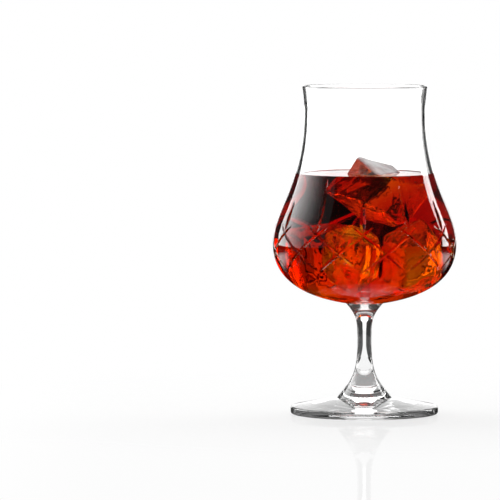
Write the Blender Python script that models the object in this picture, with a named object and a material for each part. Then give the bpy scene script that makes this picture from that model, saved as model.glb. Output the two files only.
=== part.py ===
"""Tulip snifter of hand-cut crystal, holding a drink and ice.

The glass is three gathers of crystal fused end to end: a pressed foot, a drawn stem that flares at both
ends, and a blown bowl with a band of mitre cuts round its belly. The drink is one solid under its level,
with a pocket for each cube of ice. Lengths are in metres, +Z is up, and the origin is the middle of the
ring that the foot stands on. Angle 0 round the glass faces -Y.
"""

import math

import bmesh
import bpy
from mathutils import Euler, Matrix, Vector
from mathutils.bvhtree import BVHTree
from mathutils.geometry import interpolate_bezier

# Clearance left at each fused seam, round the drink and round the ice.
CLEARANCE = 0.0003

# Foot: a disc with a rounded rim, a low cone on top and a ground hollow underneath.
FOOT_RADIUS = 0.0337
FOOT_RIM_HEIGHT = 0.0036
FOOT_RIM_ROUND = 0.0010
FOOT_CONE_RISE = 0.0037
FOOT_HOLLOW_RADIUS = 0.0240
FOOT_HOLLOW_DEPTH = 0.0010

# Stem: a waisted rod between a wide base and the collar that carries the bowl.
STEM_LENGTH = 0.0427
STEM_BASE_RADIUS = 0.0127
STEM_NECK_RADIUS = 0.0032
STEM_NECK_ABOVE_BASE = 0.0264
STEM_COLLAR_RADIUS = 0.0085
STEM_BASE_SLOPE = math.radians(49.0)
STEM_COLLAR_SLOPE = math.radians(48.0)

# Bowl: the outer radii and the heights between them, then the wall at the same four places.
BELLY_ABOVE_BOTTOM = 0.0273
WAIST_ABOVE_BELLY = 0.0607
LIP_ABOVE_WAIST = 0.0114
BELLY_RADIUS = 0.0419
WAIST_RADIUS = 0.0278
LIP_RADIUS = 0.0287
UNDERSIDE_SLOPE = math.radians(9.0)
FLOOR_WALL = 0.0030
BELLY_WALL = 0.0026
WAIST_WALL = 0.0014
LIP_WALL = 0.0011

# Cuts: two hands of slanting cuts that cross in a ring of diamonds, and upright blades above them.
CUT_REPEATS = 12
CUT_PHASE = math.radians(-1.2)
CROSSING_ABOVE_BELLY = 0.0058
CROSSING_PITCH = 0.0084
SLANT_OVERRUN = 0.0043
SLANT_WIDTH = 0.0018
SLANT_DEPTH = 0.0006
SECOND_HAND_DEEPER = 0.00006
BLADE_START = 0.0010
BLADE_LONG = 0.0250
BLADE_SHORT = 0.0140
BLADE_WIDTH = 0.0030
BLADE_DEPTH = 0.0009
CUTTER_LIFT = 0.0005

# Drink and ice. One cube floats, with a corner standing out of the drink, and the others lie under it.
DRINK_ABOVE_BELLY = 0.0316
ICE_STANDS_OUT = 0.0080
ICE_ROUND = 0.0020
ICE_TAPER = 0.92
ICE_CHIP = 0.0035

# A cube's place is shared out over the belly's radius, less this many edges for its corners.
CUBE_REACH = 0.75

# Each cube: its edge as a share of the belly's radius, its angle round the bowl, its place from the axis (0)
# to the wall (1) and its turn.
FLOATING_CUBE = "ice_cube_top"
ICE_CUBES = {
    "ice_cube_right": (0.483, 60.0, 0.94, (30.0, -20.0, 32.0)),
    "ice_cube_left": (0.547, -103.0, 0.60, (-14.0, -10.0, -35.0)),
    "ice_cube_back": (0.497, 160.0, 0.92, (-21.0, 16.0, -43.0)),
    "ice_cube_front": (0.450, -13.0, 0.94, (-17.0, 20.0, 30.0)),
    FLOATING_CUBE: (0.597, 61.0, 0.29, (60.0, -57.0, -17.0)),
}

# Facets round the glass, rows of facets up the three curves of each side of the bowl, and stations along a cut.
GLASS_FACETS = 60
STEM_FACETS = 36
STEM_ROWS = 8
OUTER_ROWS = (9, 12, 2)
INNER_ROWS = (9, 8, 1)
FINE_ROWS = (40, 60, 8)
CUT_STATIONS = 8


def clear_scene():
    for old in list(bpy.data.objects):
        bpy.data.objects.remove(old, do_unlink=True)


def material(name, colour, roughness, ior):
    """A clear material: its colour tints what shows through it."""
    made = bpy.data.materials.new(name)
    made.use_nodes = True
    shader = made.node_tree.nodes["Principled BSDF"]
    shader.inputs["Base Color"].default_value = (*colour, 1.0)
    shader.inputs["Roughness"].default_value = roughness
    shader.inputs["Metallic"].default_value = 0.0
    shader.inputs["IOR"].default_value = ior
    shader.inputs["Transmission Weight"].default_value = 1.0
    return made


def add_object(name, mesh, finish, parent, location=(0.0, 0.0, 0.0)):
    made = bpy.data.objects.new(name, mesh)
    bpy.context.collection.objects.link(made)
    made.parent = parent
    made.location = location
    if finish:
        mesh.materials.append(finish)
    return made


def add_cutter(name, mesh, parent, location=(0.0, 0.0, 0.0)):
    made = add_object(name, mesh, None, parent, location)
    made.hide_render = True
    made.display_type = "WIRE"
    return made


def cut_away(piece, cutter):
    cut = piece.modifiers.new(cutter.name, "BOOLEAN")
    cut.operation = "DIFFERENCE"
    cut.solver = "EXACT"
    cut.object = cutter


def turned(name, outline, facets, finish, parent, height):
    """A turned piece. Its outline runs from the axis, down its outer side and back to the axis."""
    mesh = bpy.data.meshes.new(name)
    edges = [(i, i + 1) for i in range(len(outline) - 1)]
    mesh.from_pydata([(radius, 0.0, z) for radius, z in outline], edges, [])
    made = add_object(name, mesh, finish, parent, (0.0, 0.0, height))
    turn = made.modifiers.new("turn", "SCREW")
    turn.axis = "Z"
    turn.angle = math.tau
    turn.steps = facets
    turn.render_steps = facets
    turn.use_merge_vertices = True
    turn.merge_threshold = 1e-5
    turn.use_smooth_shade = True
    return made


def arc(centre, radius, start, end, steps):
    """Points (radius, height) along a round edge, from one angle to another."""
    angles = [math.radians(start + (end - start) * i / steps) for i in range(steps + 1)]
    return [(centre[0] + radius * math.cos(a), centre[1] + radius * math.sin(a)) for a in angles]


def curve(start, leave, arrive, end, steps):
    """Points (radius, height) along one curve, given the offsets of its two handles."""
    first, last = Vector(start), Vector(end)
    points = interpolate_bezier(first, first + Vector(leave), last + Vector(arrive), last, steps + 1)
    return [(point.x, point.y) for point in points]


def along_slope(length, slope):
    return (length * math.cos(slope), length * math.sin(slope))


def foot_outline():
    cone_top = FOOT_RIM_HEIGHT + FOOT_CONE_RISE
    edge = FOOT_RADIUS - FOOT_RIM_ROUND
    top_edge = arc((edge, FOOT_RIM_HEIGHT - FOOT_RIM_ROUND), FOOT_RIM_ROUND, 75.0, 0.0, 3)
    low_edge = arc((edge, FOOT_RIM_ROUND), FOOT_RIM_ROUND, 0.0, -90.0, 3)
    hollow = curve((FOOT_HOLLOW_RADIUS, 0.0), (-0.3 * FOOT_HOLLOW_RADIUS, FOOT_HOLLOW_DEPTH),
                   (0.4 * FOOT_HOLLOW_RADIUS, 0.0), (0.0, FOOT_HOLLOW_DEPTH), 3)
    return [(0.0, cone_top), (STEM_BASE_RADIUS, cone_top)] + top_edge + low_edge + hollow


def stem_outline():
    above_neck = STEM_LENGTH - STEM_NECK_ABOVE_BASE
    collar = (STEM_COLLAR_RADIUS, STEM_LENGTH)
    neck = (STEM_NECK_RADIUS, STEM_NECK_ABOVE_BASE)
    base = (STEM_BASE_RADIUS, 0.0)
    leave = along_slope(0.44 * above_neck, math.pi + STEM_COLLAR_SLOPE)
    upper = curve(collar, leave, (0.0, 0.52 * above_neck), neck, STEM_ROWS)
    arrive = along_slope(0.44 * STEM_NECK_ABOVE_BASE, math.pi - STEM_BASE_SLOPE)
    lower = curve(neck, (0.0, -0.55 * STEM_NECK_ABOVE_BASE), arrive, base, STEM_ROWS)
    return [(0.0, STEM_LENGTH)] + upper + lower[1:] + [(0.0, 0.0)]


def bowl_side(bottom, slope, belly_radius, waist_radius, lip_radius, steps):
    """One face of the bowl's wall, from its bottom up to the lip, as three curves that flow together."""
    belly = (belly_radius, BELLY_ABOVE_BOTTOM)
    waist = (waist_radius, BELLY_ABOVE_BOTTOM + WAIST_ABOVE_BELLY)
    lip = (lip_radius, waist[1] + LIP_ABOVE_WAIST - LIP_WALL / 2)
    leave = along_slope(0.64 * (belly_radius - bottom[0]), slope)
    under = curve(bottom, leave, (0.0, -0.57 * BELLY_ABOVE_BOTTOM), belly, steps[0])
    shoulder = curve(belly, (0.0, 0.265 * WAIST_ABOVE_BELLY), (0.0, -0.57 * WAIST_ABOVE_BELLY), waist, steps[1])
    rise = (lip_radius - waist_radius, LIP_ABOVE_WAIST)
    chimney = curve(waist, (0.0, 0.35 * LIP_ABOVE_WAIST), (-0.3 * rise[0], -0.24 * rise[1]), lip, steps[2])
    return under + shoulder[1:] + chimney[1:]


def outer_side(steps):
    return bowl_side((STEM_COLLAR_RADIUS, 0.0), UNDERSIDE_SLOPE, BELLY_RADIUS, WAIST_RADIUS, LIP_RADIUS, steps)


def inner_side(steps):
    return bowl_side((0.0, FLOOR_WALL), 0.0, BELLY_RADIUS - BELLY_WALL, WAIST_RADIUS - WAIST_WALL,
                     LIP_RADIUS - LIP_WALL, steps)


def bowl_outline():
    outer = outer_side(OUTER_ROWS)
    inner = inner_side(INNER_ROWS)
    lip = arc((LIP_RADIUS - LIP_WALL / 2, outer[-1][1]), LIP_WALL / 2, 180.0, 0.0, 4)
    return inner[:-1] + lip + outer[-2::-1] + [(0.0, 0.0)]


def pulled_in(side, gap):
    """The same line a gap nearer the axis and the inside of the bowl, square to the wall."""
    moved = []
    for i, (radius, z) in enumerate(side):
        before, after = side[max(i - 1, 0)], side[min(i + 1, len(side) - 1)]
        run = Vector((after[0] - before[0], after[1] - before[1])).normalized()
        moved.append((max(radius - gap * run.y, 0.0), z + gap * run.x))
    return moved


def radius_at(side, height):
    """The radius of a side at a height: none under its floor, and no limit over its lip."""
    if height < side[0][1]:
        return -1.0
    for low, high in zip(side, side[1:]):
        if low[1] <= height <= high[1]:
            share = (height - low[1]) / max(high[1] - low[1], 1e-9)
            return low[0] + share * (high[0] - low[0])
    return math.inf


def on_bowl(side, angle, height):
    """A point on the bowl's outer face and the direction out of the glass there."""
    step = 0.0002
    radius = radius_at(side, height)
    lean = (radius_at(side, height + step) - radius_at(side, height - step)) / (2 * step)
    outward = Vector((math.sin(angle), -math.cos(angle), -lean)).normalized()
    return Vector((radius * math.sin(angle), -radius * math.cos(angle), height)), outward


def add_cut(shape, route, width, depth, fullness):
    """Adds to shape the wedge that one mitre cut takes out along a route of (angle, height)."""
    side = outer_side(FINE_ROWS)
    points = [on_bowl(side, *place) for place in route]
    rings = []
    for i, (point, outward) in enumerate(points):
        before, after = points[max(i - 1, 0)][0], points[min(i + 1, len(points) - 1)][0]
        across = (after - before).cross(outward).normalized()
        sunk = depth * fullness(i / (len(points) - 1))
        half = width / 2 * (sunk + CUTTER_LIFT) / depth
        top = point + outward * CUTTER_LIFT
        corners = (top - across * half, top + across * half, point - outward * sunk)
        rings.append([shape.verts.new(corner) for corner in corners])
    for ring, following in zip(rings, rings[1:]):
        for i in range(3):
            j = (i + 1) % 3
            shape.faces.new((ring[i], ring[j], following[j], following[i]))
    shape.faces.new(rings[0])
    shape.faces.new(rings[-1])


def even_fullness(share):
    """Full depth along the cut, running out to a point at both ends."""
    return 1.05 * (1.0 - (2.0 * share - 1.0) ** 4) - 0.1


def spear_fullness(share):
    """Deepest a third of the way up, running out to a long point at the top."""
    widest = 0.35
    span = widest if share < widest else 1.0 - widest
    return 1.05 * (1.0 - ((share - widest) / span) ** 2) - 0.1


def cutter_mesh(name, routes, width, depth, fullness):
    shape = bmesh.new()
    for route in routes:
        add_cut(shape, route, width, depth, fullness)
    bmesh.ops.recalc_face_normals(shape, faces=shape.faces)
    mesh = bpy.data.meshes.new(name)
    shape.to_mesh(mesh)
    shape.free()
    return mesh


def slant_routes(hand):
    """One hand of slanting cuts, each falling by two pitches over one repeat below its upper crossing."""
    repeat = math.tau / CUT_REPEATS
    crossing = BELLY_ABOVE_BOTTOM + CROSSING_ABOVE_BELLY
    top = crossing + SLANT_OVERRUN
    fall = SLANT_OVERRUN + 2 * CROSSING_PITCH
    routes = []
    for cut in range(CUT_REPEATS):
        heights = [top - fall * i / (CUT_STATIONS - 1) for i in range(CUT_STATIONS)]
        turns = [cut + hand * (crossing - z) / (2 * CROSSING_PITCH) for z in heights]
        routes.append([(CUT_PHASE + repeat * turn, z) for turn, z in zip(turns, heights)])
    return routes


def blade_routes(first, length):
    """Every other upright cut, from just over an upper crossing."""
    start = BELLY_ABOVE_BOTTOM + CROSSING_ABOVE_BELLY + BLADE_START
    heights = [start + length * i / (CUT_STATIONS - 1) for i in range(CUT_STATIONS)]
    angles = [CUT_PHASE + math.tau * cut / CUT_REPEATS for cut in range(first, CUT_REPEATS, 2)]
    return [[(angle, z) for z in heights] for angle in angles]


def make_bowl(finish, parent, height):
    bowl = turned("bowl", bowl_outline(), GLASS_FACETS, finish, parent, height)
    second_depth = SLANT_DEPTH + SECOND_HAND_DEEPER
    for name, hand, depth in (("slants_to_right", 1, SLANT_DEPTH), ("slants_to_left", -1, second_depth)):
        mesh = cutter_mesh(name, slant_routes(hand), SLANT_WIDTH, depth, even_fullness)
        cut_away(bowl, add_cutter(name, mesh, bowl))
    blades = blade_routes(0, BLADE_SHORT) + blade_routes(1, BLADE_LONG)
    mesh = cutter_mesh("blades", blades, BLADE_WIDTH, BLADE_DEPTH, spear_fullness)
    cut_away(bowl, add_cutter("blades", mesh, bowl))
    return bowl


def cube_shape(edge, grow, chips):
    """A cube from a tray: drawn in towards its top, two corners chipped off and every edge melted round."""
    shape = bmesh.new()
    bmesh.ops.create_cube(shape, size=edge + 2 * grow)
    for vert in shape.verts:
        if vert.co.z > 0.0:
            vert.co.xy *= ICE_TAPER
    for corner in chips:
        out = Vector(corner).normalized()
        place = out * (math.sqrt(3.0) / 2.0 * edge - ICE_CHIP + grow)
        parts = shape.verts[:] + shape.edges[:] + shape.faces[:]
        cut = bmesh.ops.bisect_plane(shape, geom=parts, plane_co=place, plane_no=out, clear_outer=True)
        rim = [part for part in cut["geom_cut"] if isinstance(part, bmesh.types.BMEdge)]
        bmesh.ops.contextual_create(shape, geom=rim)
    bmesh.ops.recalc_face_normals(shape, faces=shape.faces)
    bmesh.ops.bevel(shape, geom=shape.edges[:], offset=ICE_ROUND + grow, segments=2, profile=0.5,
                    affect="EDGES", clamp_overlap=True)
    return shape


def cube_mesh(name, edge, grow, chips):
    shape = cube_shape(edge, grow, chips)
    mesh = bpy.data.meshes.new(name)
    shape.to_mesh(mesh)
    shape.free()
    return mesh


def tree_of(mesh, place):
    corners = [place @ vert.co for vert in mesh.vertices]
    return BVHTree.FromPolygons(corners, [face.vertices for face in mesh.polygons])


def fits(mesh, place, room, others):
    """True where a cube lies inside the room left by the glass and clear of the other cubes."""
    for vert in mesh.vertices:
        corner = place @ vert.co
        if math.hypot(corner.x, corner.y) > radius_at(room, corner.z):
            return False
    tree = tree_of(mesh, place)
    return not any(tree.overlap(other) for other in others)


def raised(mesh, place, room, others):
    """The lowest place straight above this one at which a cube clears the glass and the other cubes."""
    step = 0.0002
    while not fits(mesh, place, room, others):
        place = Matrix.Translation((0.0, 0.0, step)) @ place
    return place


def make_ice(finish, parent, room):
    """The cubes and, for each, the pocket that it takes up in the drink."""
    level = BELLY_ABOVE_BOTTOM + DRINK_ABOVE_BELLY
    belly = radius_at(room, BELLY_ABOVE_BOTTOM)
    others, pockets = [], []
    for number, (name, (size, angle, share, turns)) in enumerate(ICE_CUBES.items(), 1):
        edge = size * BELLY_RADIUS
        chips = ((1, -1, 1), (-1, (-1) ** number, -1))
        mesh = cube_mesh(name, edge, 0.0, chips)
        turn = Euler([math.radians(a) for a in turns]).to_matrix().to_4x4()
        height = room[0][1]
        if name == FLOATING_CUBE:
            height = level + ICE_STANDS_OUT - max((turn @ vert.co).z for vert in mesh.vertices)
        away = share * (belly - CUBE_REACH * edge)
        x, y = away * math.sin(math.radians(angle)), -away * math.cos(math.radians(angle))
        place = raised(mesh, Matrix.Translation((x, y, height)) @ turn, room, others)
        cube = add_object(name, mesh, finish, parent, place.translation)
        cube.rotation_euler = place.to_euler()
        pocket = cube_mesh("pocket_" + name, edge, CLEARANCE, chips)
        others.append(tree_of(pocket, place))
        cutter = add_cutter("pocket_" + name, pocket, parent, place.translation)
        cutter.rotation_euler = place.to_euler()
        pockets.append(cutter)
    return pockets


def make_drink(finish, parent, room, pockets):
    level = BELLY_ABOVE_BOTTOM + DRINK_ABOVE_BELLY
    wall = [point for point in room if point[1] < level - CLEARANCE]
    outline = [(0.0, level), (radius_at(room, level), level)] + wall[::-1]
    drink = turned("drink", outline, GLASS_FACETS, finish, parent, 0.0)
    for pocket in pockets:
        cut_away(drink, pocket)
    return drink


def main():
    clear_scene()
    crystal = material("crystal", (0.96, 0.97, 0.97), 0.0, 1.52)
    amber = material("amber_drink", (0.36, 0.07, 0.01), 0.0, 1.36)
    ice = material("ice", (0.93, 0.96, 0.98), 0.05, 1.31)

    snifter = add_object("tulip_snifter", None, None, None)
    turned("foot", foot_outline(), GLASS_FACETS, crystal, snifter, 0.0)
    stem_seat = FOOT_RIM_HEIGHT + FOOT_CONE_RISE + CLEARANCE
    turned("stem", stem_outline(), STEM_FACETS, crystal, snifter, stem_seat)
    bowl = make_bowl(crystal, snifter, stem_seat + STEM_LENGTH + CLEARANCE)

    room = pulled_in(inner_side(INNER_ROWS), CLEARANCE)
    pockets = make_ice(ice, bowl, room)
    make_drink(amber, bowl, room, pockets)


main()
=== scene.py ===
"""The tulip snifter as it is seen: a crystal foot, stem and cut bowl, the amber drink and the ice.

Lengths are in metres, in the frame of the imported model: +Z is up, the foot stands on z = 0, and the camera
looks from -Y. Angles round the glass start at the side that faces the camera.
"""

import math

import bpy
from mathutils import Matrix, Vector
from mathutils.geometry import interpolate_bezier


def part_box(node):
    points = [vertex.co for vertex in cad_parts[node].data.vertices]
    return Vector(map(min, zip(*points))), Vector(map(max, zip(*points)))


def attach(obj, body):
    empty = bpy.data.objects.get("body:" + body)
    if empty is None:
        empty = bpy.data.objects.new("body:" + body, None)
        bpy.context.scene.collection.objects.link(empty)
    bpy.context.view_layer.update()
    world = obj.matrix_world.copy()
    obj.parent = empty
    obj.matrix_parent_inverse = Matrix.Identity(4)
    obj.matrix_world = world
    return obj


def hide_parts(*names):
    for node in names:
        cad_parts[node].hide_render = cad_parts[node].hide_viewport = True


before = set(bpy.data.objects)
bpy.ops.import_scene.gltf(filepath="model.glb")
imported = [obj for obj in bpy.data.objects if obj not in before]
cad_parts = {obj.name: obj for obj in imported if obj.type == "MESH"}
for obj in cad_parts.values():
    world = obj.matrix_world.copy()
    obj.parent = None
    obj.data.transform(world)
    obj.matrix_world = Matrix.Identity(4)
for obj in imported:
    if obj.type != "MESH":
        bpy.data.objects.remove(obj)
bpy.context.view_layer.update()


# The camera: a long lens a little above the lip, so far off that the glass shows almost no perspective.
# It looks a little down and past the left side of the glass, which then stands right of the middle.
FRAME_PIXELS = 500.0
FOCAL_PIXELS = 5130.0
AXIS_COLUMN = 364.8
LEVEL_ROW = -79.2
CAMERA_DISTANCE = 2.34
CAMERA_HEIGHT = 0.225
SENSOR_MM = 36.0

pan = math.atan((AXIS_COLUMN - FRAME_PIXELS / 2) / FOCAL_PIXELS)
tilt = math.atan((FRAME_PIXELS / 2 - LEVEL_ROW) / FOCAL_PIXELS)
bpy.ops.object.select_all(action="DESELECT")
bpy.ops.object.camera_add(location=(0.0, -CAMERA_DISTANCE, CAMERA_HEIGHT),
                          rotation=(math.pi / 2 - tilt, 0.0, pan))
camera = bpy.context.object
camera.data.sensor_width = SENSOR_MM
camera.data.lens = SENSOR_MM * FOCAL_PIXELS / FRAME_PIXELS
bpy.context.scene.camera = camera


# The floor: a sheet of white acrylic, cast smooth, so it holds a faint mirror image of the foot and stem.
# It is white in the picture and through the glass, and keeps the shadow that the glass throws.
FLOOR_SIZE = 12.0
FLOOR_WHITE = "#F7F7F6"

# The shadow fades between these distances from the axis. At the foot this share of the sheet stays white.
SHADOW_FADES = (0.06, 0.22)
FLOOR_GLOW = 0.80

# Through glass the sheet is lit near the glass and in a lane up to the backdrop, and painted shade dims it
# under the foot.
LIT_FADES = (0.55, 0.75)
LANE_FADES = (0.20, 0.30)
UNDER_FOOT = (0.010, 0.022)
UNDER_FOOT_GLOW = 0.65

# Where light was thrown about inside the foot or the stem before it reached the sheet, painted shade dims
# the sheet near the axis.
THROWN_REACH = 0.04
THROWN_FADES = (0.012, 0.020)
THROWN_GLOW = (0.60, 0.15)

# In a reflection it glows, as painted light, only in two fans that open sideways behind the glass. Their
# inner and outer edges are given as distance aside over distance behind, and their start and end as distance
# from the axis.
FAN_INNER = (0.75, 1.0)
FAN_OUTER = (2.2, 3.2)
FAN_START = (0.16, 0.28)
FAN_END = (0.35, 0.55)
FAN_GLOW = 1.8

# The polish: its share of what is seen, its roughness, and where it fades to the sides and to the back.
FLOOR_POLISH = 0.11
POLISH_ROUGHNESS = 0.03
POLISH_ASIDE = (0.10, 0.18)
POLISH_BEHIND = (0.05, 0.25)


def linear(colour):
    """An sRGB hex colour as linear red, green, blue and alpha."""
    shares = [int(colour[i:i + 2], 16) / 255 for i in (1, 3, 5)]
    return [s / 12.92 if s <= 0.04045 else ((s + 0.055) / 1.055) ** 2.4 for s in shares] + [1.0]


def add_node(tree, kind, values=None, links=None, **settings):
    """Adds a node, with values for its sockets, links from other sockets and settings of its own."""
    node = tree.nodes.new(kind)
    for name, value in settings.items():
        setattr(node, name, value)
    for name, value in (values or {}).items():
        node.inputs[name].default_value = value
    for name, source in (links or {}).items():
        tree.links.new(source, node.inputs[name])
    return node


def new_tree(name):
    """An empty material, and its nodes."""
    finish = bpy.data.materials.new(name)
    finish.use_nodes = True
    finish.node_tree.nodes.clear()
    return finish, finish.node_tree


bpy.ops.object.select_all(action="DESELECT")
bpy.ops.mesh.primitive_plane_add(size=FLOOR_SIZE)
floor = bpy.context.object
floor.name = "floor"
white_acrylic, tree = new_tree("white_acrylic")
path = add_node(tree, "ShaderNodeLightPath")
where = add_node(tree, "ShaderNodeTexCoord")
place = add_node(tree, "ShaderNodeSeparateXYZ", links={0: where.outputs["Object"]})
away = add_node(tree, "ShaderNodeVectorMath", links={0: where.outputs["Object"]}, operation="LENGTH")
aside = add_node(tree, "ShaderNodeMath", links={0: place.outputs["X"]}, operation="ABSOLUTE")

# What glass shows of the sheet when it is looked through.
near = add_node(tree, "ShaderNodeMapRange", links={"Value": away.outputs["Value"]},
                values={"From Min": LIT_FADES[0], "From Max": LIT_FADES[1], "To Min": 1.0, "To Max": 0.0},
                interpolation_type="SMOOTHSTEP")
lane = add_node(tree, "ShaderNodeMapRange", links={"Value": aside.outputs[0]},
                values={"From Min": LANE_FADES[0], "From Max": LANE_FADES[1], "To Min": 1.0, "To Max": 0.0},
                interpolation_type="SMOOTHSTEP")
lit = add_node(tree, "ShaderNodeMath", links={0: near.outputs[0], 1: lane.outputs[0]}, operation="MAXIMUM")
# Painted shade under the foot, and for light thrown about inside the glass.
under = add_node(tree, "ShaderNodeMapRange", links={"Value": away.outputs["Value"]},
                 values={"From Min": UNDER_FOOT[0], "From Max": UNDER_FOOT[1], "To Min": UNDER_FOOT_GLOW,
                         "To Max": 1.0})
lit = add_node(tree, "ShaderNodeMath", links={0: lit.outputs[0], 1: under.outputs[0]}, operation="MULTIPLY")
painted_thrown_shade = add_node(tree, "ShaderNodeMapRange", links={"Value": away.outputs["Value"]},
                  values={"From Min": THROWN_FADES[0], "From Max": THROWN_FADES[1], "To Min": THROWN_GLOW[0],
                          "To Max": THROWN_GLOW[1]})
below = add_node(tree, "ShaderNodeMath", values={1: THROWN_REACH}, links={0: away.outputs["Value"]},
                 operation="LESS_THAN")
thrown = add_node(tree, "ShaderNodeMath", links={0: path.outputs["Glossy Depth"], 1: below.outputs[0]},
                  operation="MULTIPLY", use_clamp=True)
shade = add_node(tree, "ShaderNodeMix", values={"A": 1.0},
                 links={"Factor": thrown.outputs[0], "B": painted_thrown_shade.outputs[0]})
lit = add_node(tree, "ShaderNodeMath", links={0: lit.outputs[0], 1: shade.outputs[0]}, operation="MULTIPLY")
through = add_node(tree, "ShaderNodeMath", links={0: path.outputs["Is Transmission Ray"], 1: lit.outputs[0]},
                   operation="MULTIPLY")

# What glass shows of it in its reflections: painted light in two fans.
mirror = add_node(tree, "ShaderNodeMath", operation="SUBTRACT", use_clamp=True,
                  links={0: path.outputs["Is Glossy Ray"], 1: path.outputs["Is Transmission Ray"]})
fan = add_node(tree, "ShaderNodeMath", links={0: aside.outputs[0], 1: place.outputs["Y"]},
               operation="DIVIDE")
inner = add_node(tree, "ShaderNodeMapRange", links={"Value": fan.outputs[0]},
                 values={"From Min": FAN_INNER[0], "From Max": FAN_INNER[1], "To Min": 0.0,
                         "To Max": FAN_GLOW}, interpolation_type="SMOOTHSTEP")
outer = add_node(tree, "ShaderNodeMapRange", links={"Value": fan.outputs[0]},
                 values={"From Min": FAN_OUTER[0], "From Max": FAN_OUTER[1], "To Min": 1.0, "To Max": 0.0},
                 interpolation_type="SMOOTHSTEP")
start = add_node(tree, "ShaderNodeMapRange", links={"Value": away.outputs["Value"]},
                 values={"From Min": FAN_START[0], "From Max": FAN_START[1]},
                 interpolation_type="SMOOTHSTEP")
end = add_node(tree, "ShaderNodeMapRange", links={"Value": away.outputs["Value"]},
               values={"From Min": FAN_END[0], "From Max": FAN_END[1], "To Min": 1.0, "To Max": 0.0},
               interpolation_type="SMOOTHSTEP")
mirrored = mirror
for edge in (inner, outer, start, end):
    mirrored = add_node(tree, "ShaderNodeMath", links={0: mirrored.outputs[0], 1: edge.outputs[0]},
                        operation="MULTIPLY")

# The sheet itself: matt white in the light of the studio, mixed with plain white.
glow = add_node(tree, "ShaderNodeMath", links={0: through.outputs[0], 1: mirrored.outputs[0]},
                operation="ADD")
glow = add_node(tree, "ShaderNodeMath", links={0: path.outputs["Is Camera Ray"], 1: glow.outputs[0]},
                operation="ADD")
unshaded = add_node(tree, "ShaderNodeMapRange", links={"Value": away.outputs["Value"]},
                    values={"From Min": SHADOW_FADES[0], "From Max": SHADOW_FADES[1], "To Min": FLOOR_GLOW,
                            "To Max": 1.0}, interpolation_type="SMOOTHSTEP")
seen = add_node(tree, "ShaderNodeMath", links={0: path.outputs["Is Camera Ray"], 1: unshaded.outputs[0]},
                operation="MULTIPLY")
seen = add_node(tree, "ShaderNodeMath", links={0: seen.outputs[0], 1: path.outputs["Is Glossy Ray"]},
                operation="MAXIMUM")
matt = add_node(tree, "ShaderNodeBsdfDiffuse", values={"Color": linear(FLOOR_WHITE)})
white = add_node(tree, "ShaderNodeEmission", links={"Strength": glow.outputs[0]})
body = add_node(tree, "ShaderNodeMixShader",
                links={0: seen.outputs[0], 1: matt.outputs[0], 2: white.outputs[0]})

# Its polish, which only the camera sees.
polish = add_node(tree, "ShaderNodeBsdfGlossy", values={"Roughness": POLISH_ROUGHNESS})
clean = add_node(tree, "ShaderNodeMapRange", links={"Value": aside.outputs[0]},
                 values={"From Min": POLISH_ASIDE[0], "From Max": POLISH_ASIDE[1], "To Min": FLOOR_POLISH,
                         "To Max": 0.0}, interpolation_type="SMOOTHSTEP")
front = add_node(tree, "ShaderNodeMapRange", links={"Value": place.outputs["Y"]},
                 values={"From Min": POLISH_BEHIND[0], "From Max": POLISH_BEHIND[1], "To Min": 1.0,
                         "To Max": 0.0}, interpolation_type="SMOOTHSTEP")
clean = add_node(tree, "ShaderNodeMath", links={0: clean.outputs[0], 1: front.outputs[0]},
                 operation="MULTIPLY")
clean = add_node(tree, "ShaderNodeMath", links={0: clean.outputs[0], 1: path.outputs["Is Camera Ray"]},
                 operation="MULTIPLY")
skin = add_node(tree, "ShaderNodeMixShader",
                links={0: clean.outputs[0], 1: body.outputs[0], 2: polish.outputs[0]})
add_node(tree, "ShaderNodeOutputMaterial", links={"Surface": skin.outputs[0]})
floor.data.materials.append(white_acrylic)


# The studio light: a lit white backdrop behind the glass, a soft box above it, a broad one to the left and a
# narrow one to the right. The rest of the room is dim, which draws the dark outline round clear glass.
BACKDROP_LIGHT = 1.6
ROOM_LIGHT = 0.03
ROOM_LIGHT_IN_DRINK = 0.60

# A ray has passed four faces at most in clear glass, and six or more once it has come through the drink.
CLEAR_FACES = 4.0
DRINK_FACES = 6.0
MORE_THAN_CLEAR = 4.5

# A ray that the floor's polish throws back is at its first bounce. For the room one more is counted.
FIRST_BOUNCE = 1.5
FIRST_BOUNCE_TO_ROOM = 2.5


def thrown_back_by_floor(tree, path, bounce):
    """1 for a ray that the floor's polish throws back, which is the one blurred mirror here, and else 0."""
    blurred = add_node(tree, "ShaderNodeMath", operation="SUBTRACT", use_clamp=True,
                       links={0: path.outputs["Is Glossy Ray"], 1: path.outputs["Is Singular Ray"]})
    first = add_node(tree, "ShaderNodeMath", values={1: bounce}, links={0: path.outputs["Ray Depth"]},
                     operation="LESS_THAN")
    return add_node(tree, "ShaderNodeMath", links={0: blurred.outputs[0], 1: first.outputs[0]},
                    operation="MULTIPLY")


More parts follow.
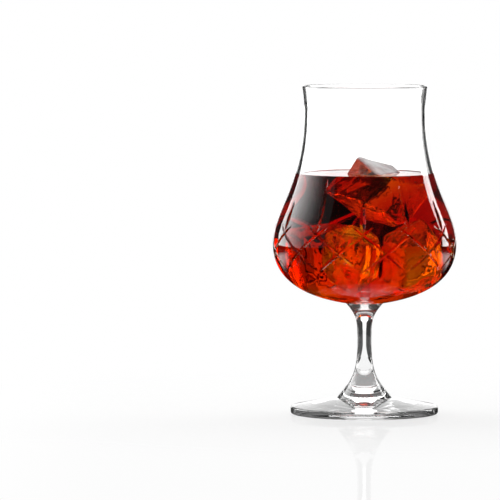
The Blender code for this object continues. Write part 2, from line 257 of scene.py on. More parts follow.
def add_panel(name, bearing, distance, middle, width, height, strength, lean=0.0, dim=None, fade=(0.0, 1.0),
              clear_part=None):
    """A lit panel that faces the glass. Its bearing is from straight behind the glass, round to the right.

    Its light rises from dim to its full strength between the two shares of its width in fade. Clear glass in
    front of a panel with a clear_part sees that part of its width alone, so that its outline stays dark.
    """
    turn = math.radians(bearing)
    place = (distance * math.sin(turn), distance * math.cos(turn), middle)
    bpy.ops.object.select_all(action="DESELECT")
    bpy.ops.mesh.primitive_plane_add(size=1.0, location=place,
                                     rotation=(math.radians(90.0 - lean), 0.0, -turn))
    panel = bpy.context.object
    panel.name = name
    panel.scale = (width, height, 1.0)
    panel.visible_camera = False
    light, tree = new_tree(name + "_light")
    path = add_node(tree, "ShaderNodeLightPath")
    where = add_node(tree, "ShaderNodeTexCoord")
    sides = add_node(tree, "ShaderNodeSeparateXYZ", links={0: where.outputs["Object"]})
    level = add_node(tree, "ShaderNodeMapRange", links={"Value": sides.outputs["X"]},
                     values={"From Min": fade[0] - 0.5, "From Max": fade[1] - 0.5,
                             "To Min": strength if dim is None else dim, "To Max": strength},
                     interpolation_type="SMOOTHSTEP")
    # The floor's polish shows the glass and plain white, and not the panels.
    from_floor = thrown_back_by_floor(tree, path, FIRST_BOUNCE)
    level = add_node(tree, "ShaderNodeMix", values={"B": 1.0},
                     links={"Factor": from_floor.outputs[0], "A": level.outputs[0]})
    if clear_part:
        low, high = clear_part[0] - 0.5, clear_part[1] - 0.5
        window = add_node(tree, "ShaderNodeMath", values={1: (low + high) / 2, 2: (high - low) / 2},
                          links={0: sides.outputs["X"]}, operation="COMPARE")
        plain = add_node(tree, "ShaderNodeMath", values={1: BACKDROP_LIGHT}, links={0: window.outputs[0]},
                         operation="MULTIPLY")
        few = add_node(tree, "ShaderNodeMath", values={1: MORE_THAN_CLEAR},
                       links={0: path.outputs["Transmission Depth"]}, operation="LESS_THAN")
        clear = add_node(tree, "ShaderNodeMath", operation="MULTIPLY",
                         links={0: few.outputs[0], 1: path.outputs["Is Transmission Ray"]})
        level = add_node(tree, "ShaderNodeMix",
                         links={"Factor": clear.outputs[0], "A": level.outputs[0], "B": plain.outputs[0]})
        # Light sampling can't tell these rays apart, so such a panel is left out of it.
        light.cycles.emission_sampling = "NONE"
    lit = add_node(tree, "ShaderNodeEmission", links={"Strength": level.outputs[0]})
    add_node(tree, "ShaderNodeOutputMaterial", links={"Surface": lit.outputs[0]})
    panel.data.materials.append(light)


add_panel("backdrop", bearing=0.0, distance=1.40, middle=0.65, width=0.92, height=1.30,
          strength=BACKDROP_LIGHT)
add_panel("top_box", bearing=0.0, distance=0.80, middle=1.45, width=1.60, height=1.10, strength=3.7,
          lean=90.0)
add_panel("left_box", bearing=-85.0, distance=0.80, middle=0.51, width=1.50, height=0.98, strength=4.8,
          dim=0.2, fade=(0.24, 0.80), clear_part=(0.25, 0.65))
add_panel("right_strip", bearing=58.0, distance=0.90, middle=0.385, width=0.26, height=0.73, strength=7.0)


# Dark cards that are only seen through the glass, as painted shade. The one behind the drink darkens its
# left side and the ice there, and only the drink sees it. The low ones to both sides draw the dark flanks of
# the stem, and only clear glass sees them.
LYING = (0.0, 0.0, 0.0)
EDGE_ON = (math.pi / 2, 0.0, math.pi / 2)


def add_shade_card(name, place, turn, width, height, colour, through_drink):
    """A dark card of painted shade that either the drink or the clear glass sees, and nothing else does."""
    bpy.ops.object.select_all(action="DESELECT")
    bpy.ops.mesh.primitive_plane_add(size=1.0, location=place, rotation=turn)
    card = bpy.context.object
    card.name = name
    card.scale = (width, height, 1.0)
    card.visible_camera = False
    card.visible_shadow = False
    card.visible_diffuse = False
    card.visible_glossy = False
    painted_shade, tree = new_tree(name + "_paper")
    path = add_node(tree, "ShaderNodeLightPath")
    there = add_node(tree, "ShaderNodeMath", values={1: MORE_THAN_CLEAR},
                     links={0: path.outputs["Transmission Depth"]},
                     operation="GREATER_THAN" if through_drink else "LESS_THAN")
    clear = add_node(tree, "ShaderNodeBsdfTransparent")
    matt = add_node(tree, "ShaderNodeBsdfDiffuse", values={"Color": linear(colour)})
    skin = add_node(tree, "ShaderNodeMixShader",
                    links={0: there.outputs[0], 1: clear.outputs[0], 2: matt.outputs[0]})
    add_node(tree, "ShaderNodeOutputMaterial", links={"Surface": skin.outputs[0]})
    card.data.materials.append(painted_shade)


# Painted shade: one dark card behind the drink, and dark cards low at both sides of the stem.
add_shade_card("level_shade_card", place=(0.045, 0.170, 0.058), turn=LYING, width=0.12, height=0.17, colour="#0A0A0A",
         through_drink=True)
for side in (-1, 1):
    add_shade_card("side_shade_card", place=(0.048 * side, 0.16, 0.04), turn=EDGE_ON, width=0.28, height=0.08,
             colour="#3C3C3C", through_drink=False)
    add_shade_card("ground_shade_card", place=(0.09 * side, 0.04, 0.0005), turn=LYING, width=0.10, height=0.16,
             colour="#1E1E1E", through_drink=False)


# The room: plain white behind everything in the picture and in the floor's polish, and dim to other rays.
# The drink sees more of it than clear glass does, because it gathers light from every side.
GLASS_BOUNCES = 40
MIRROR_BOUNCES = 16

room = bpy.data.worlds.new("room")
bpy.context.scene.world = room
room.use_nodes = True
tree = room.node_tree
tree.nodes.clear()
path = add_node(tree, "ShaderNodeLightPath")
level = add_node(tree, "ShaderNodeMapRange", links={"Value": path.outputs["Transmission Depth"]},
                 values={"From Min": CLEAR_FACES, "From Max": DRINK_FACES, "To Min": ROOM_LIGHT,
                         "To Max": ROOM_LIGHT_IN_DRINK})
level = add_node(tree, "ShaderNodeMath", links={0: level.outputs[0], 1: path.outputs["Is Camera Ray"]},
                 operation="MAXIMUM")
from_floor = thrown_back_by_floor(tree, path, FIRST_BOUNCE_TO_ROOM)
level = add_node(tree, "ShaderNodeMath", links={0: level.outputs[0], 1: from_floor.outputs[0]},
                 operation="MAXIMUM")
air = add_node(tree, "ShaderNodeBackground", values={"Color": linear("#FFFFFF")},
               links={"Strength": level.outputs[0]})
add_node(tree, "ShaderNodeOutputWorld", links={"Surface": air.outputs[0]})

scene = bpy.context.scene
scene.view_settings.view_transform = "Standard"
scene.cycles.max_bounces = GLASS_BOUNCES
scene.cycles.transmission_bounces = GLASS_BOUNCES
scene.cycles.transparent_max_bounces = GLASS_BOUNCES
scene.cycles.glossy_bounces = MIRROR_BOUNCES


# The foot: a disc of pressed crystal with a rounded rim, a low cone on top and a ground hollow underneath.
# The stem is fused to it hot, so the seam between them is clear glass with nothing in it to see.
FOOT_RADIUS = 0.0337
FOOT_RIM_HEIGHT = 0.0036
FOOT_RIM_ROUND = 0.0010
FOOT_CONE_RISE = 0.0037
FOOT_HOLLOW_RADIUS = 0.0240
FOOT_HOLLOW_DEPTH = 0.0010
STEM_BASE_RADIUS = 0.0127
GLASS_FACETS = 192

# At a seam the faces of two gathers lie this far apart, so that they never share a place.
FUSED_GAP = 0.00001

# The cone runs into the rim at this angle. The hollow's curve leaves its edge and reaches its middle with
# handles of these shares of its radius.
RIM_MEETS_CONE = 80.0
RIM_STEPS = 8
HOLLOW_HANDLES = (0.3, 0.4)
HOLLOW_STEPS = 20

# Points closer than this are one, a face this level can belong to a seam, and an edge of a turned piece
# that bends more than this stays sharp.
SAME_PLACE = 1e-6
LEVEL_FACE = 0.99
TURNED_EDGE = math.radians(25.0)


def arc(centre, radius, start, end, steps):
    """Points (radius, height) along a round edge, from one angle to another."""
    angles = [math.radians(start + (end - start) * i / steps) for i in range(steps + 1)]
    return [(centre[0] + radius * math.cos(a), centre[1] + radius * math.sin(a)) for a in angles]


def curve(start, leave, arrive, end, steps):
    """Points (radius, height) along one curve, given the offsets of its two handles."""
    first, last = Vector(start), Vector(end)
    points = interpolate_bezier(first, first + Vector(leave), last + Vector(arrive), last, steps + 1)
    return [(point.x, point.y) for point in points]


def spun(name, outline, facets):
    """A turned piece: half its section is drawn point by point and spun round the axis."""
    bpy.ops.object.select_all(action="DESELECT")
    bpy.ops.mesh.primitive_circle_add(vertices=3, radius=0.001)
    piece = bpy.context.object
    piece.name = name
    piece.data.name = name
    bpy.ops.object.mode_set(mode="EDIT")
    bpy.ops.mesh.select_all(action="SELECT")
    bpy.ops.mesh.merge(type="CENTER")
    bpy.ops.transform.translate(value=(outline[0][0], 0.0, outline[0][1]))
    for (radius, z), (next_radius, next_z) in zip(outline, outline[1:]):
        step = (next_radius - radius, 0.0, next_z - z)
        bpy.ops.mesh.extrude_vertices_move(TRANSFORM_OT_translate={"value": step})
    bpy.ops.mesh.select_all(action="SELECT")
    bpy.ops.mesh.spin(steps=facets, angle=math.tau, center=(0.0, 0.0, 0.0), axis=(0.0, 0.0, 1.0))
    bpy.ops.mesh.select_all(action="SELECT")
    bpy.ops.mesh.remove_doubles(threshold=SAME_PLACE)
    bpy.ops.mesh.normals_make_consistent(inside=False)
    bpy.ops.object.mode_set(mode="OBJECT")
    bpy.ops.object.shade_smooth_by_angle(angle=TURNED_EDGE)
    return piece


def fuse(piece, height, look):
    """Gives the level faces at a seam's height the look of fused glass."""
    piece.data.materials.append(look)
    seam = len(piece.data.materials) - 1
    for face in piece.data.polygons:
        if abs(face.center.z - height) < SAME_PLACE and abs(face.normal.z) > LEVEL_FACE:
            face.material_index = seam


def clear_finish(name, tint, bend, wave, rise, glint="#FFFFFF"):
    """A clear, polished material that refracts light by bend, with waves of this length and rise."""
    finish, tree = new_tree(name)
    where = add_node(tree, "ShaderNodeTexCoord")
    waves = add_node(tree, "ShaderNodeTexNoise", values={"Scale": 1.0 / wave, "Detail": 1.0},
                     links={"Vector": where.outputs["Object"]})
    uneven = add_node(tree, "ShaderNodeBump", values={"Distance": rise}, links={"Height": waves.outputs[0]})
    shader = add_node(tree, "ShaderNodeBsdfPrincipled", links={"Normal": uneven.outputs[0]},
                      values={"Base Color": linear(tint), "Roughness": 0.0, "IOR": bend,
                              "Specular Tint": linear(glint), "Transmission Weight": 1.0})
    add_node(tree, "ShaderNodeOutputMaterial", links={"Surface": shader.outputs[0]})
    return finish


# Crystal: clear glass, almost without colour. Fire has melted its skin smooth, so its glints are sharp, and
# only long, very low waves are left in it. Where the drink wets it, its face gives off no glint of its own.
CRYSTAL_TINT = "#FDFDFD"
CRYSTAL_BEND = 1.52
FIRE_WAVE = 0.012
FIRE_WAVE_RISE = 0.000012
NO_GLINT = "#000000"

crystal = clear_finish("fire_polished_crystal", CRYSTAL_TINT, CRYSTAL_BEND, FIRE_WAVE, FIRE_WAVE_RISE)
wetted_crystal = clear_finish("wetted_crystal", CRYSTAL_TINT, CRYSTAL_BEND, FIRE_WAVE, FIRE_WAVE_RISE,
                              NO_GLINT)

# Fused glass: the gathers have flowed into one, so light goes straight through their seam.
fused_seam, tree = new_tree("fused_seam")
clear = add_node(tree, "ShaderNodeBsdfTransparent")
add_node(tree, "ShaderNodeOutputMaterial", links={"Surface": clear.outputs[0]})

# Under the bowl the seam also mirrors most of the light. That stands for the silvery look that the collar of
# a real glass has, and keeps the colour of the drink out of it.
SEAM_SILVER = 0.8
SEAM_ROUGHNESS = 0.1

silvery_seam, tree = new_tree("silvery_seam")
clear = add_node(tree, "ShaderNodeBsdfTransparent")
silver = add_node(tree, "ShaderNodeBsdfGlossy", values={"Roughness": SEAM_ROUGHNESS})
skin = add_node(tree, "ShaderNodeMixShader", values={0: SEAM_SILVER},
                links={1: clear.outputs[0], 2: silver.outputs[0]})
add_node(tree, "ShaderNodeOutputMaterial", links={"Surface": skin.outputs[0]})

foot_top = FOOT_RIM_HEIGHT + FOOT_CONE_RISE
rim_middle = FOOT_RADIUS - FOOT_RIM_ROUND
foot_outline = [(0.0, foot_top), (STEM_BASE_RADIUS, foot_top)]
foot_outline += arc((rim_middle, FOOT_RIM_HEIGHT - FOOT_RIM_ROUND), FOOT_RIM_ROUND, RIM_MEETS_CONE, 0.0,
                    RIM_STEPS)
foot_outline += arc((rim_middle, FOOT_RIM_ROUND), FOOT_RIM_ROUND, 0.0, -90.0, RIM_STEPS)
foot_outline += curve((FOOT_HOLLOW_RADIUS, 0.0),
                      (-HOLLOW_HANDLES[0] * FOOT_HOLLOW_RADIUS, FOOT_HOLLOW_DEPTH),
                      (HOLLOW_HANDLES[1] * FOOT_HOLLOW_RADIUS, 0.0), (0.0, FOOT_HOLLOW_DEPTH), HOLLOW_STEPS)
foot = spun("crystal_foot", foot_outline, GLASS_FACETS)
foot.data.materials.append(crystal)
fuse(foot, foot_top, fused_seam)
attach(foot, "root")
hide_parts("foot")


# The stem: a rod of crystal drawn out between its flared base and the collar that carries the bowl.
# It is fused to the foot and the bowl while all three are hot.
STEM_NECK_RADIUS = 0.0032
STEM_NECK_ABOVE_BASE = 0.0264
STEM_COLLAR_RADIUS = 0.0085
STEM_BASE_SLOPE = math.radians(49.0)
STEM_COLLAR_SLOPE = math.radians(48.0)
STEM_FACETS = 96
STEM_ROWS = 40

# The handles of its two curves, from the collar to the neck and from the neck to the base, as shares of the
# height that each of them spans.
COLLAR_HANDLES = (0.44, 0.52)
BASE_HANDLES = (0.55, 0.44)


def along_slope(length, slope):
    """A step of this length (across, up) at this slope."""
    return (length * math.cos(slope), length * math.sin(slope))


bowl_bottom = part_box("bowl")[0].z
stem_low = foot_top + FUSED_GAP
stem_high = bowl_bottom - FUSED_GAP
neck = (STEM_NECK_RADIUS, stem_low + STEM_NECK_ABOVE_BASE)
above_neck = stem_high - neck[1]
stem_outline = [(0.0, stem_high)]
stem_outline += curve((STEM_COLLAR_RADIUS, stem_high),
                      along_slope(COLLAR_HANDLES[0] * above_neck, math.pi + STEM_COLLAR_SLOPE),
                      (0.0, COLLAR_HANDLES[1] * above_neck), neck, STEM_ROWS)
stem_outline += curve(neck, (0.0, -BASE_HANDLES[0] * STEM_NECK_ABOVE_BASE),
                      along_slope(BASE_HANDLES[1] * STEM_NECK_ABOVE_BASE, math.pi - STEM_BASE_SLOPE),
                      (STEM_BASE_RADIUS, stem_low), STEM_ROWS)[1:]
stem_outline += [(0.0, stem_low)]
stem = spun("crystal_stem", stem_outline, STEM_FACETS)
stem.data.materials.append(crystal)
fuse(stem, stem_high, silvery_seam)
fuse(stem, stem_low, fused_seam)
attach(stem, "root")
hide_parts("stem")


# The bowl: blown crystal, full at the belly and drawn in to a tall chimney with a fire-polished lip.
# Its wall thins from the floor to the lip. The cuts come after it has cooled.
BELLY_ABOVE_BOTTOM = 0.0273
WAIST_ABOVE_BELLY = 0.0607
LIP_ABOVE_WAIST = 0.0114
BELLY_RADIUS = 0.0419
WAIST_RADIUS = 0.0278
LIP_RADIUS = 0.0287
UNDERSIDE_SLOPE = math.radians(9.0)
FLOOR_WALL = 0.0030
BELLY_WALL = 0.0026
WAIST_WALL = 0.0014
LIP_WALL = 0.0011
BOWL_ROWS = (44, 64, 10)
LIP_STEPS = 12

# The handles of its three curves, where each leaves and arrives, as shares of what the curve spans.
UNDER_HANDLES = (0.64, 0.57)
SHOULDER_HANDLES = (0.265, 0.57)
CHIMNEY_HANDLES = (0.35, 0.24)
LIP_FLARE = 0.3


def bowl_side(bottom, slope, belly_radius, waist_radius, lip_radius):
    """One face of the bowl's wall, from its bottom up to the lip, as three curves that flow together."""
    belly = (belly_radius, bowl_bottom + BELLY_ABOVE_BOTTOM)
    waist = (waist_radius, belly[1] + WAIST_ABOVE_BELLY)
    lip = (lip_radius, waist[1] + LIP_ABOVE_WAIST - LIP_WALL / 2)
    leave = along_slope(UNDER_HANDLES[0] * (belly_radius - bottom[0]), slope)
    under = curve(bottom, leave, (0.0, -UNDER_HANDLES[1] * BELLY_ABOVE_BOTTOM), belly, BOWL_ROWS[0])
    shoulder = curve(belly, (0.0, SHOULDER_HANDLES[0] * WAIST_ABOVE_BELLY),
                     (0.0, -SHOULDER_HANDLES[1] * WAIST_ABOVE_BELLY), waist, BOWL_ROWS[1])
    flare = lip_radius - waist_radius
    chimney = curve(waist, (0.0, CHIMNEY_HANDLES[0] * LIP_ABOVE_WAIST),
                    (-LIP_FLARE * flare, -CHIMNEY_HANDLES[1] * LIP_ABOVE_WAIST), lip, BOWL_ROWS[2])
    return under + shoulder[1:] + chimney[1:]


outer_side = bowl_side((STEM_COLLAR_RADIUS, bowl_bottom), UNDERSIDE_SLOPE, BELLY_RADIUS, WAIST_RADIUS,
                       LIP_RADIUS)
inner_side = bowl_side((0.0, bowl_bottom + FLOOR_WALL), 0.0, BELLY_RADIUS - BELLY_WALL,
                       WAIST_RADIUS - WAIST_WALL, LIP_RADIUS - LIP_WALL)
lip_round = arc((LIP_RADIUS - LIP_WALL / 2, outer_side[-1][1]), LIP_WALL / 2, 180.0, 0.0, LIP_STEPS)
bowl_outline = inner_side[:-1] + lip_round + outer_side[-2::-1] + [(0.0, bowl_bottom)]
bowl = spun("crystal_bowl", bowl_outline, GLASS_FACETS)
bowl.data.materials.append(crystal)


# The cuts: a mitre wheel grinds two hands of slanting cuts, which cross in a ring of diamonds round the
# belly, and upright blades above the crossings, long and short by turns. Each cut is then polished.
CUT_REPEATS = 12
CUT_PHASE = math.radians(-1.2)
CROSSING_ABOVE_BELLY = 0.0058
CROSSING_PITCH = 0.0084
SLANT_OVERRUN = 0.0043
SLANT_WIDTH = 0.0018
SLANT_DEPTH = 0.0006
SECOND_HAND_DEEPER = 0.00006
BLADE_START = 0.0010
BLADE_LONG = 0.0250
BLADE_SHORT = 0.0140
BLADE_WIDTH = 0.0030
BLADE_DEPTH = 0.0009
BLADE_WIDEST = 0.35

# The power of the curve across a cut: 1 is a sharp mitre, and 2 a round groove.
WHEEL_EDGE = 1.5

# Along a cut the wheel goes in by this share of its depth, less this run-out, which ends the cut in a point.
CUT_FULLNESS = 1.05
CUT_RUN_OUT = 0.1

# How far the wheel stands out of the glass, the lid over it, the points round it, the stations along a cut,
# and the small steps that give the direction of a cut and the slope of the wall.
CUTTER_LIFT = 0.0005
CUTTER_LID = 1.2 * CUTTER_LIFT
CUTTER_SIDES = 12
CUT_STATIONS = 28
STATION_STEP = 0.01
SLOPE_STEP = 0.0004

# An edge of the cut bowl that bends more than this stays sharp.
GROUND_EDGE = math.radians(28.0)

# Cut crystal: the wheel leaves fine ridges, which the polish rounds to small waves that break up the glints
# along a cut. The real ones are finer, and are drawn this coarse so that they show.
CUT_WAVE = 0.0006
CUT_WAVE_RISE = 0.00001

polished_cut = clear_finish("polished_cut", CRYSTAL_TINT, CRYSTAL_BEND, CUT_WAVE, CUT_WAVE_RISE)


def radius_at(side, height):
    """The radius of a side at a height."""
    for low, high in zip(side, side[1:]):
        if low[1] <= height <= high[1]:
            share = (height - low[1]) / max(high[1] - low[1], 1e-9)
            return low[0] + share * (high[0] - low[0])
    return side[-1][0]


def on_bowl(angle, height):
    """A point on the bowl's outer face and the direction out of the glass there."""
    radius = radius_at(outer_side, height)
    wider = radius_at(outer_side, height + SLOPE_STEP) - radius_at(outer_side, height - SLOPE_STEP)
    outward = Vector((math.sin(angle), -math.cos(angle), -wider / (2 * SLOPE_STEP))).normalized()
    return Vector((radius * math.sin(angle), -radius * math.cos(angle), height)), outward


def even_fullness(share):
    """Full depth along the cut, running out to a point at both ends."""
    return CUT_FULLNESS * (1.0 - (2.0 * share - 1.0) ** 4) - CUT_RUN_OUT


def spear_fullness(share):
    """Deepest a third of the way up, running out to a long point at the top."""
    span = BLADE_WIDEST if share < BLADE_WIDEST else 1.0 - BLADE_WIDEST
    return CUT_FULLNESS * (1.0 - ((share - BLADE_WIDEST) / span) ** 2) - CUT_RUN_OUT


def add_wedge(name, start, end, width, depth, fullness):
    """What the wheel grinds away in one cut: a bar with the wheel's rounded edge, bent along the bowl."""
    def route(share):
        return on_bowl(*[a + (b - a) * share for a, b in zip(start, end)])

    bpy.ops.object.select_all(action="DESELECT")
    bpy.ops.mesh.primitive_cylinder_add(vertices=CUTTER_SIDES, radius=1.0, depth=1.0, end_fill_type="NGON")
    wedge = bpy.context.object
    wedge.name = name
    bpy.ops.object.mode_set(mode="EDIT")
    for station in range(1, CUT_STATIONS):
        bpy.ops.mesh.select_all(action="SELECT")
        bpy.ops.mesh.bisect(plane_co=(0.0, 0.0, station / CUT_STATIONS - 0.5), plane_no=(0.0, 0.0, 1.0))
    bpy.ops.object.mode_set(mode="OBJECT")
    # One half of the bar's round becomes the wheel's edge in the glass, and the other a lid just over it.
    for vert in wedge.data.vertices:
        share = vert.co.z + 0.5
        point, outward = route(share)
        along = route(min(share + STATION_STEP, 1.0))[0] - route(max(share - STATION_STEP, 0.0))[0]
        across = along.cross(outward).normalized()
        sunk = depth * fullness(share)
        aside = vert.co.x * ((sunk + CUTTER_LIFT) / depth) ** (1.0 / WHEEL_EDGE)
        below = sunk - depth * abs(aside) ** WHEEL_EDGE if vert.co.y > -0.1 else -CUTTER_LID
        vert.co = point - outward * below + across * aside * width / 2
    return wedge


def cut_ring(wedge, repeats):
    """Copies one wedge round the bowl and cuts the whole ring out of it."""
    bpy.ops.object.select_all(action="DESELECT")
    wedge.select_set(True)
    bpy.context.view_layer.objects.active = wedge
    bpy.ops.object.mode_set(mode="EDIT")
    bpy.ops.mesh.select_all(action="SELECT")
    bpy.ops.mesh.spin(steps=repeats - 1, dupli=True, angle=math.tau * (repeats - 1) / repeats,
                      center=(0.0, 0.0, 0.0), axis=(0.0, 0.0, 1.0))
    bpy.ops.mesh.select_all(action="SELECT")
    bpy.ops.mesh.normals_make_consistent(inside=False)
    bpy.ops.object.mode_set(mode="OBJECT")
    wedge.data.materials.append(polished_cut)
    bpy.context.view_layer.objects.active = bowl
    cut = bowl.modifiers.new(wedge.name, "BOOLEAN")
    cut.operation = "DIFFERENCE"
    cut.solver = "EXACT"
    cut.material_mode = "TRANSFER"
    cut.object = wedge
    bpy.ops.object.modifier_apply(modifier=cut.name)
    bpy.data.objects.remove(wedge)


repeat = math.tau / CUT_REPEATS
crossing = bowl_bottom + BELLY_ABOVE_BOTTOM + CROSSING_ABOVE_BELLY
slant_top = crossing + SLANT_OVERRUN
slant_low = crossing - 2 * CROSSING_PITCH
for hand, depth in ((1, SLANT_DEPTH), (-1, SLANT_DEPTH + SECOND_HAND_DEEPER)):
    top_turn = -hand * repeat * SLANT_OVERRUN / (2 * CROSSING_PITCH)
    slant = add_wedge("slant", (CUT_PHASE + top_turn, slant_top), (CUT_PHASE + hand * repeat, slant_low),
                      SLANT_WIDTH, depth, even_fullness)
    cut_ring(slant, CUT_REPEATS)
blade_low = crossing + BLADE_START
for turn, length in ((0, BLADE_SHORT), (1, BLADE_LONG)):
    angle = CUT_PHASE + turn * repeat
    blade = add_wedge("blade", (angle, blade_low), (angle, blade_low + length), BLADE_WIDTH, BLADE_DEPTH,
                      spear_fullness)
    cut_ring(blade, CUT_REPEATS // 2)

bpy.ops.object.select_all(action="DESELECT")
bowl.select_set(True)
bpy.context.view_layer.objects.active = bowl
bpy.ops.object.shade_smooth_by_angle(angle=GROUND_EDGE)

# The drink wets the inside of the bowl up to its own raised edge. A face is inside if it looks at the axis
# or up, and lies deeper in the glass than the cuts and above the seam.
DRINK_ABOVE_BELLY = 0.0316
MENISCUS_RISE = 0.0003
DEEPER_THAN_CUTS = 0.0012
ABOVE_SEAM = 0.001
LOOKS_UP = 0.9

drink_level = bowl_bottom + BELLY_ABOVE_BOTTOM + DRINK_ABOVE_BELLY
edge_level = drink_level + MENISCUS_RISE
bowl.data.materials.append(wetted_crystal)
wet = len(bowl.data.materials) - 1
for face in bowl.data.polygons:
    middle = face.center
    inward = face.normal.x * middle.x + face.normal.y * middle.y < 0.0 or face.normal.z > LOOKS_UP
    if inward and bowl_bottom + ABOVE_SEAM < middle.z < edge_level:
        if middle.xy.length < radius_at(outer_side, middle.z) - DEEPER_THAN_CUTS:
            face.material_index = wet
fuse(bowl, bowl_bottom, silvery_seam)
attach(bowl, "root")
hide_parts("bowl")


# The ice: cubes from a tray, clear, with melted edges and faces that are no longer flat.
# One floats with a corner out of the drink, and the others lie in the belly of the bowl.
ICE_VOXEL = 0.0006
ICE_SOFTENING = 6
ICE_WAVE = 0.00035
ICE_WAVE_LENGTH = 0.009

# Clear ice: water frozen slowly, with a skin that melting has pitted. The pits are about 7 mm apart and give
# the broken, glassy look of cubes in a drink. Under the drink it bends light more than real ice, or it would
# not show in a drink this dark. Out of it the faces that look up are painted white in patches, a painted
# highlight for the light they throw back.
ICE_TINT = "#FBFDFE"
ICE_ROUGHNESS = 0.02
ICE_PIT_SPACING = 0.0066667
ICE_PIT_DEPTH = 0.0007
ICE_PIT_STRENGTH = 0.6
ICE_BEND = 1.31
ICE_BEND_IN_DRINK = 1.49
PAINTED_HIGHLIGHT_WHITE = "#FAFBFC"
HIGHLIGHT_ROUGHNESS = 0.35
HIGHLIGHT_CLEARNESS = 0.10

# The ice goes from wet to dry over this height. The painted highlight begins where a face looks up by this
# share and is full that much further on, and between the two heights of the pits it goes from one cover to
# the other.
DRIES_OVER = 0.0008
HIGHLIGHT_LOOKS_UP = 0.45
HIGHLIGHT_FULL_OVER = 0.25
HIGHLIGHT_PATCHES = (0.30, 0.55)
HIGHLIGHT_COVER = (0.60, 0.95)

clear_ice, tree = new_tree("clear_ice")
where = add_node(tree, "ShaderNodeTexCoord")
pits = add_node(tree, "ShaderNodeTexNoise", values={"Scale": 1.0 / ICE_PIT_SPACING, "Detail": 1.5},
                links={"Vector": where.outputs["Object"]})
pitted = add_node(tree, "ShaderNodeBump", values={"Strength": ICE_PIT_STRENGTH, "Distance": ICE_PIT_DEPTH},
                  links={"Height": pits.outputs[0]})
dryness = add_node(tree, "ShaderNodeAttribute", attribute_name="dry")
bend = add_node(tree, "ShaderNodeMapRange", values={"To Min": ICE_BEND_IN_DRINK, "To Max": ICE_BEND},
                links={"Value": dryness.outputs["Fac"]})
glassy = add_node(tree, "ShaderNodeBsdfPrincipled",
                  values={"Base Color": linear(ICE_TINT), "Roughness": ICE_ROUGHNESS,
                          "Transmission Weight": 1.0},
                  links={"IOR": bend.outputs[0], "Normal": pitted.outputs[0]})
# The white of the painted highlight, which dry faces that look up are given.
painted_white = add_node(tree, "ShaderNodeBsdfPrincipled", links={"Normal": pitted.outputs[0]},
                   values={"Base Color": linear(PAINTED_HIGHLIGHT_WHITE), "Roughness": HIGHLIGHT_ROUGHNESS, "IOR": ICE_BEND,
                           "Transmission Weight": HIGHLIGHT_CLEARNESS})
highlight_share = add_node(tree, "ShaderNodeAttribute", attribute_name="painted_highlight")
highlight_patches = add_node(tree, "ShaderNodeMapRange", links={"Value": pits.outputs[0]},
                   values={"From Min": HIGHLIGHT_PATCHES[0], "From Max": HIGHLIGHT_PATCHES[1],
                           "To Min": HIGHLIGHT_COVER[0], "To Max": HIGHLIGHT_COVER[1]})
highlight_mask = add_node(tree, "ShaderNodeMath", links={0: highlight_patches.outputs[0], 1: highlight_share.outputs["Fac"]},
                 operation="MULTIPLY")
skin = add_node(tree, "ShaderNodeMixShader",
                links={0: highlight_mask.outputs[0], 1: glassy.outputs[0], 2: painted_white.outputs[0]})
add_node(tree, "ShaderNodeOutputMaterial", links={"Surface": skin.outputs[0]})

melt = bpy.data.textures.new("melt", "CLOUDS")
melt.noise_scale = ICE_WAVE_LENGTH
melt.noise_depth = 1
cubes = []
for node in sorted(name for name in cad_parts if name.startswith("ice_cube")):
    cube = bpy.data.objects.new("clear_" + node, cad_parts[node].data.copy())
    bpy.context.scene.collection.objects.link(cube)
    bpy.ops.object.select_all(action="DESELECT")
    cube.select_set(True)
    bpy.context.view_layer.objects.active = cube
    bpy.ops.object.mode_set(mode="EDIT")
    bpy.ops.mesh.select_all(action="SELECT")
    bpy.ops.mesh.remove_doubles(threshold=SAME_PLACE)
    bpy.ops.object.mode_set(mode="OBJECT")
    cube.data.materials.clear()
    cube.data.materials.append(clear_ice)
    remesh = cube.modifiers.new("remesh", "REMESH")
    remesh.mode = "VOXEL"
    remesh.voxel_size = ICE_VOXEL
    bpy.ops.object.modifier_apply(modifier=remesh.name)
    soften = cube.modifiers.new("soften", "SMOOTH")
    soften.factor = 0.5
    soften.iterations = ICE_SOFTENING
    bpy.ops.object.modifier_apply(modifier=soften.name)
    wave = cube.modifiers.new("wave", "DISPLACE")
    wave.texture = melt
    wave.texture_coords = "LOCAL"
    wave.mid_level = 0.5
    wave.strength = 2 * ICE_WAVE
    bpy.ops.object.modifier_apply(modifier=wave.name)
    bpy.ops.object.shade_smooth()
    dry = cube.data.attributes.new("dry", "FLOAT", "POINT")
    # Where the painted highlight goes: on dry faces that look up.
    painted_highlight = cube.data.attributes.new("painted_highlight", "FLOAT", "POINT")
    for i, vert in enumerate(cube.data.vertices):
        out = min(max((vert.co.z - drink_level) / DRIES_OVER, 0.0), 1.0)
        dry.data[i].value = out
        painted_highlight.data[i].value = out * min(max((vert.normal.z - HIGHLIGHT_LOOKS_UP) / HIGHLIGHT_FULL_OVER, 0.0), 1.0)
    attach(cube, "root")
    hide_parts(node)
    cubes.append(cube)


# The drink: amber spirit that fills the belly of the bowl. It wets the glass, so its edge climbs the wall a
# little, and it reaches into the inner face of the glass by a hair, so that no film of air shows there.
DRINK_INTO_GLASS = 0.00010
MENISCUS_WIDTH = 0.0016
MENISCUS_STEPS = 12
FLAT_RINGS = 6

# The wall of the drink starts this far below its raised edge. A pocket for ice is smaller than its cube by a
# film all round, so that the drink wets the ice. An edge that bends more than this stays sharp.
EDGE_TRIM = 0.0002
ICE_FILM = 0.00005
POCKET_EDGE = math.radians(40.0)

# The raised edge's curve: the handle on the level as a share of its width, then the handle at the wall as
# shares of its width and of its rise.
MENISCUS_LEAVES = 0.6
MENISCUS_ARRIVES = (0.12, 0.6)

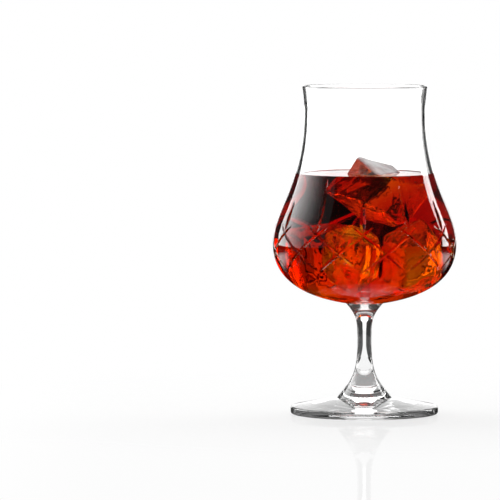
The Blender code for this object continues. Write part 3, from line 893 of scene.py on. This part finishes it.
# Aged spirit: clear, with the colour of the cask. It lets red through, less green and hardly any blue, so
# it goes from orange where it is thin to dark red where it is deep. One less the colour, times the density,
# is what it absorbs to the metre. Ice and melt water stir faint, long waves into its faces.
SPIRIT_CLEAR = "#FFFFFF"
SPIRIT_BEND = 1.36
SPIRIT_WAVE = 0.010
SPIRIT_WAVE_RISE = 0.00004
AMBER = "#F9DA00"
AMBER_DENSITY = 351.0

amber_spirit = clear_finish("amber_spirit", SPIRIT_CLEAR, SPIRIT_BEND, SPIRIT_WAVE, SPIRIT_WAVE_RISE,
                            NO_GLINT)
tree = amber_spirit.node_tree
soak = add_node(tree, "ShaderNodeVolumeAbsorption",
                values={"Color": linear(AMBER), "Density": AMBER_DENSITY})
tree.links.new(soak.outputs[0], tree.get_output_node("CYCLES").inputs["Volume"])


def pushed_out(side, gap):
    """The same line a gap further from the axis, square to the wall."""
    moved = []
    for i, (radius, z) in enumerate(side):
        before, after = side[max(i - 1, 0)], side[min(i + 1, len(side) - 1)]
        run = Vector((after[0] - before[0], after[1] - before[1])).normalized()
        moved.append((radius + gap * run.y if i else 0.0, z - gap * run.x))
    return moved


wet_side = pushed_out(inner_side, DRINK_INTO_GLASS)
edge_radius = radius_at(wet_side, edge_level)
level_radius = edge_radius - MENISCUS_WIDTH
drink_outline = [(level_radius * i / FLAT_RINGS, drink_level) for i in range(FLAT_RINGS)]
drink_outline += curve((level_radius, drink_level), (MENISCUS_LEAVES * MENISCUS_WIDTH, 0.0),
                       (-MENISCUS_ARRIVES[0] * MENISCUS_WIDTH, -MENISCUS_ARRIVES[1] * MENISCUS_RISE),
                       (edge_radius, edge_level), MENISCUS_STEPS)
drink_outline += [point for point in wet_side[::-1] if point[1] < edge_level - EDGE_TRIM]
drink = spun("amber_drink", drink_outline, GLASS_FACETS)
drink.data.materials.append(amber_spirit)
for cube in cubes:
    pocket = bpy.data.objects.new("pocket", cube.data.copy())
    bpy.context.scene.collection.objects.link(pocket)
    shrink = pocket.modifiers.new("film", "DISPLACE")
    shrink.strength = -ICE_FILM
    shrink.mid_level = 0.0
    bpy.context.view_layer.objects.active = drink
    cut = drink.modifiers.new("pocket", "BOOLEAN")
    cut.operation = "DIFFERENCE"
    cut.solver = "EXACT"
    cut.object = pocket
    bpy.ops.object.modifier_apply(modifier=cut.name)
    bpy.data.objects.remove(pocket)
bpy.ops.object.select_all(action="DESELECT")
drink.select_set(True)
bpy.context.view_layer.objects.active = drink
bpy.ops.object.shade_smooth_by_angle(angle=POCKET_EDGE)
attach(drink, "root")
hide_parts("drink")
